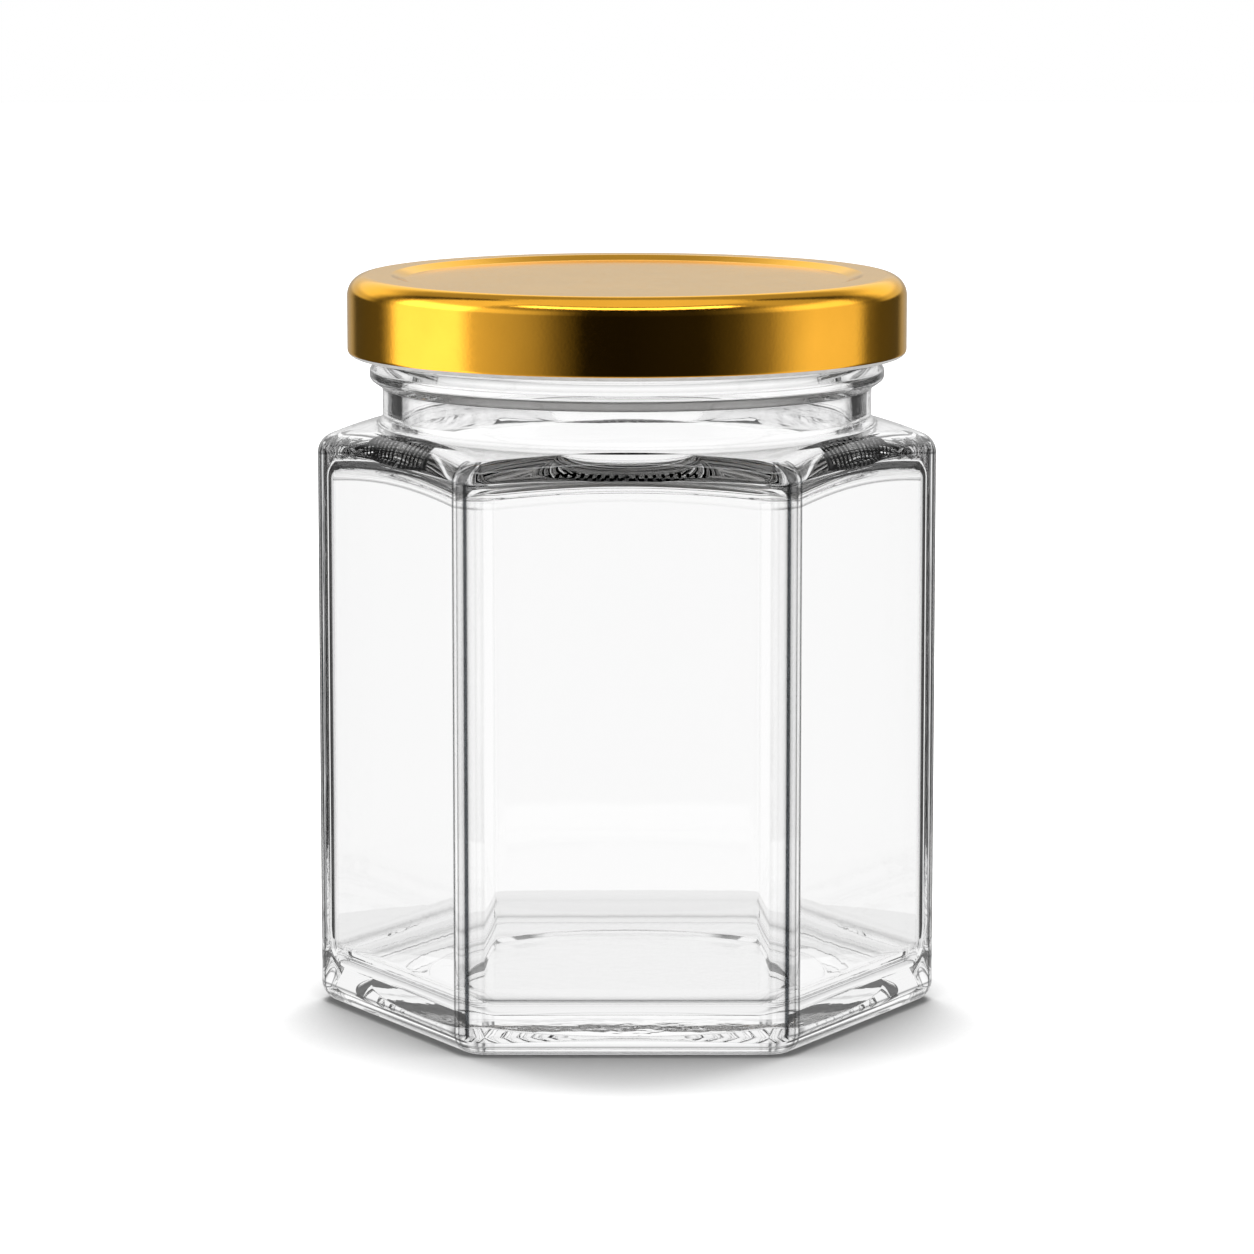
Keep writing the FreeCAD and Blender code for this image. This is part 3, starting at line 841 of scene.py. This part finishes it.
# what the metal mirrors at level height: (degrees from the backdrop, strength)
METAL_SIDES = [
    (-180, 0.01), (-162, 0.01), (-152, 0.16), (-142, 0.42), (-130, 0.6), (-114, 0.85), (-107, 2.05),
    (-72, 2.0), (-66, 0.5), (-60, 0.11), (-32, 0.09), (-24, 0.48), (24, 0.48), (32, 0.09),
    (54, 0.1), (64, 0.2), (72, 1.1), (98, 1.15), (106, 0.95), (120, 0.3), (134, 0.08), (148, 0.02),
    (180, 0.01),
]


def make_world():
    """White for the camera, even for the floor; metal and glass see a studio round the jar.

    Azimuths count from +Y towards +X: the backdrop is at 0, the camera at 180."""
    world = bpy.data.worlds.new("studio")
    world.use_nodes = True
    nodes, links = world.node_tree.nodes, world.node_tree.links
    direction = nodes.new("ShaderNodeTexCoord").outputs["Generated"]
    split = nodes.new("ShaderNodeSeparateXYZ")
    links.new(direction, split.inputs[0])
    x, y, z = split.outputs
    around = math_node(nodes, links, "DEGREES", math_node(nodes, links, "ARCTAN2", x, y))
    off = math_node(nodes, links, "ABSOLUTE", around)
    rise = math_node(nodes, links, "DEGREES", math_node(nodes, links, "ARCSINE", z))
    path = nodes.new("ShaderNodeLightPath").outputs

    # what metal mirrors: its sides, the floor below, the backdrop, a dim ceiling
    metal = ramp(nodes, links, around, METAL_SIDES)
    metal = blend(nodes, links, map_range(nodes, links, rise, -46.0, -30.0, 1.0, 0.0), metal, 0.75)
    metal = blend(nodes, links, map_range(nodes, links, rise, 2.0, 6.0, 0.0, 1.0),
                  metal, math_node(nodes, links, "MAXIMUM", metal,
                                   map_range(nodes, links, off, 40.0, 60.0, 0.8, 0.0)))
    metal = math_node(nodes, links, "MULTIPLY", metal,
                      map_range(nodes, links, rise, 26.0, 40.0, 1.0, 0.35))
    metal = math_node(nodes, links, "MULTIPLY", metal,
                      map_range(nodes, links, rise, 10.0, 16.0, 1.0, 1.6))
    # a bright strip high up on the camera's side, for the crown of the cap
    strip = math_node(nodes, links, "MULTIPLY",
                      map_range(nodes, links, rise, 46.0, 50.0, 0.0, 4.0),
                      map_range(nodes, links, rise, 56.0, 60.0, 1.0, 0.0))
    strip = math_node(nodes, links, "MULTIPLY", strip,
                      map_range(nodes, links, off, 110.0, 130.0, 0.0, 1.0))
    metal = blend(nodes, links, map_range(nodes, links, rise, 60.0, 66.0, 0.0, 1.0), metal, 1.0)
    metal = math_node(nodes, links, "MAXIMUM", metal, strip)

    # light thrown back inside the glass comes from dark flags and the dim room, the
    # rest of the light in it from white surroundings
    above_floor = map_range(nodes, links, rise, -18.0, -14.0, 0.0, 1.0)
    narrow = math_node(nodes, links, "MULTIPLY",
                       map_range(nodes, links, off, 14.0, 18.0, 0.0, 1.0),
                       map_range(nodes, links, off, 46.0, 50.0, 1.0, 0.0))
    wing = math_node(nodes, links, "MULTIPLY",
                     map_range(nodes, links, off, 70.0, 74.0, 0.0, 1.0),
                     map_range(nodes, links, off, 100.0, 104.0, 1.0, 0.0))
    narrow = math_node(nodes, links, "MAXIMUM", narrow, wing)
    room = map_range(nodes, links, off, 132.0, 140.0, 0.0, 0.6)
    thrown_flag = math_node(nodes, links, "MAXIMUM", narrow, room)
    thrown_flag = math_node(nodes, links, "MULTIPLY", thrown_flag, above_floor)
    thrown_light = blend(nodes, links, thrown_flag, 1.0, FLAG_LIGHT)
    thrown = math_node(nodes, links, "GREATER_THAN", path["Glossy Depth"], 0.5)
    seen = blend(nodes, links, thrown, WHITE_THROUGH_GLASS, thrown_light)

    through = math_node(nodes, links, "GREATER_THAN", path["Transmission Depth"], 0.5)
    strength = blend(nodes, links, through, metal, seen)
    strength = blend(nodes, links, path["Is Diffuse Ray"], strength, LIGHT_ON_OBJECT)
    strength = blend(nodes, links, path["Is Camera Ray"], strength, 1.0)
    background = nodes["Background"]
    background.inputs["Color"].default_value = (1, 1, 1, 1)
    links.new(strength, background.inputs["Strength"])
    bpy.context.scene.world = world


def make_floor(name, radius, near):
    """The pale floor. The near one is what the glass and the metal show of it. Both carry a painted
    contact shadow near the jar, from ambient occlusion.
    """
    bpy.ops.mesh.primitive_circle_add(vertices=96, radius=radius, fill_type="NGON")
    floor = bpy.context.object
    floor.name = name
    material = bpy.data.materials.new(name + "_paint")
    material.use_nodes = True
    nodes, links = material.node_tree.nodes, material.node_tree.links
    shader = nodes["Principled BSDF"]
    shader.inputs["Base Color"].default_value = (FLOOR_GREY, FLOOR_GREY, FLOOR_GREY, 1)
    shader.inputs["Roughness"].default_value = 0.9
    shader.inputs["Specular IOR Level"].default_value = 0.0
    # painted contact shadow: ambient occlusion darkens the floors close to the jar
    painted_contact_shadow = nodes.new("ShaderNodeAmbientOcclusion")
    painted_contact_shadow.samples = 16
    painted_contact_shadow.inputs["Distance"].default_value = 0.008 if near else 0.03
    if near:
        shade = map_range(nodes, links, painted_contact_shadow.outputs["AO"], 0.3, 1.0, 0.92, 1.05, "LINEAR")
        shader.inputs["Base Color"].default_value = (0, 0, 0, 1)
        links.new(shade, shader.inputs["Emission Strength"])
    else:
        shade = map_range(nodes, links, painted_contact_shadow.outputs["AO"], 0.35, 1.0, 0.25, 1.0, "LINEAR")
        grey = nodes.new("ShaderNodeCombineColor")
        for socket in grey.inputs:
            links.new(math_node(nodes, links, "MULTIPLY", shade, FLOOR_GREY), socket)
        links.new(grey.outputs["Color"], shader.inputs["Base Color"])
        away = nodes.new("ShaderNodeVectorMath")
        away.operation = "LENGTH"
        links.new(nodes.new("ShaderNodeTexCoord").outputs["Object"], away.inputs[0])
        far = map_range(nodes, links, away.outputs["Value"], 0.25, 0.7, 0.25, 0.45)
        glow_strength = math_node(nodes, links, "MULTIPLY", ray_mask(nodes, links, SEEN), far)
        links.new(math_node(nodes, links, "MULTIPLY", glow_strength, shade),
                  shader.inputs["Emission Strength"])
    shader.inputs["Emission Color"].default_value = (1, 1, 1, 1)
    floor.data.materials.append(material)
    floor.visible_glossy = floor.visible_transmission = near
    floor.visible_camera = floor.visible_diffuse = floor.visible_shadow = not near


def area_lamp(name, place, target, size, power):
    """A soft lamp that glass and metal don't mirror."""
    data = bpy.data.lights.new(name, "AREA")
    data.shape = "RECTANGLE"
    data.size, data.size_y = size
    data.energy = power
    lamp = bpy.data.objects.new(name, data)
    lamp.location = place
    direction = Vector(target) - Vector(place)
    lamp.rotation_euler = direction.to_track_quat("-Z", "Y").to_euler()
    lamp.visible_glossy = lamp.visible_transmission = False
    bpy.context.scene.collection.objects.link(lamp)


make_world()
make_floor("floor", FLOOR_REACH, near=False)
make_floor("floor_near", NEAR_FLOOR_REACH, near=True)
area_lamp("top_lamp", LAMP_PLACE, LAMP_TARGET, LAMP_SIZE, LAMP_POWER)

scene = bpy.context.scene
scene.view_settings.view_transform = "Standard"
scene.cycles.max_bounces = GLASS_BOUNCES
scene.cycles.transmission_bounces = GLASS_BOUNCES
scene.cycles.glossy_bounces = METAL_BOUNCES
